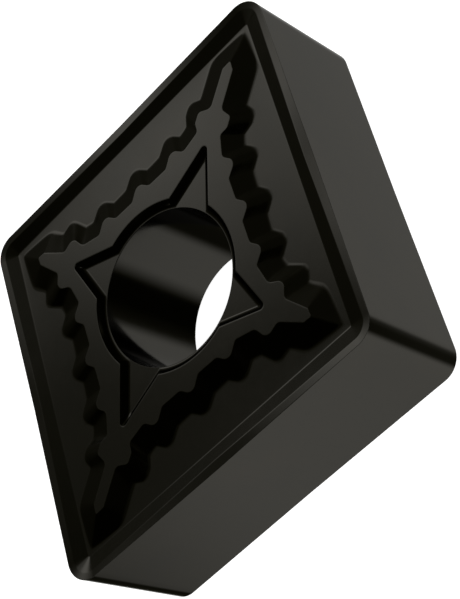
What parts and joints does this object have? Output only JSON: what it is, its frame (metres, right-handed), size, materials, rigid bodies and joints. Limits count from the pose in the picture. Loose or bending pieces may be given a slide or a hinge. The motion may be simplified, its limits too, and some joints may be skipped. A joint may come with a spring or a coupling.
{
  "type": "carbide insert",
  "caption": "Rhombic double-sided cutting insert with rounded cutting corners, a knobbed chip groove on each face and a clamping hole through a star-shaped recess.",
  "frame": {"origin": "centre of the lower seat, on the axis of the hole", "axes": "+Z along the hole towards the upper face, +X through the two 80 degree corners, +Y through the two 100 degree corners"},
  "size_m": [0.0188, 0.016, 0.0048],
  "materials": {
    "coated_carbide": "thin, hard, satin-gloss black coating on sintered tungsten carbide"
  },
  "bodies": {
    "root": {"insert": "coated_carbide"}
  },
  "joints": []
}
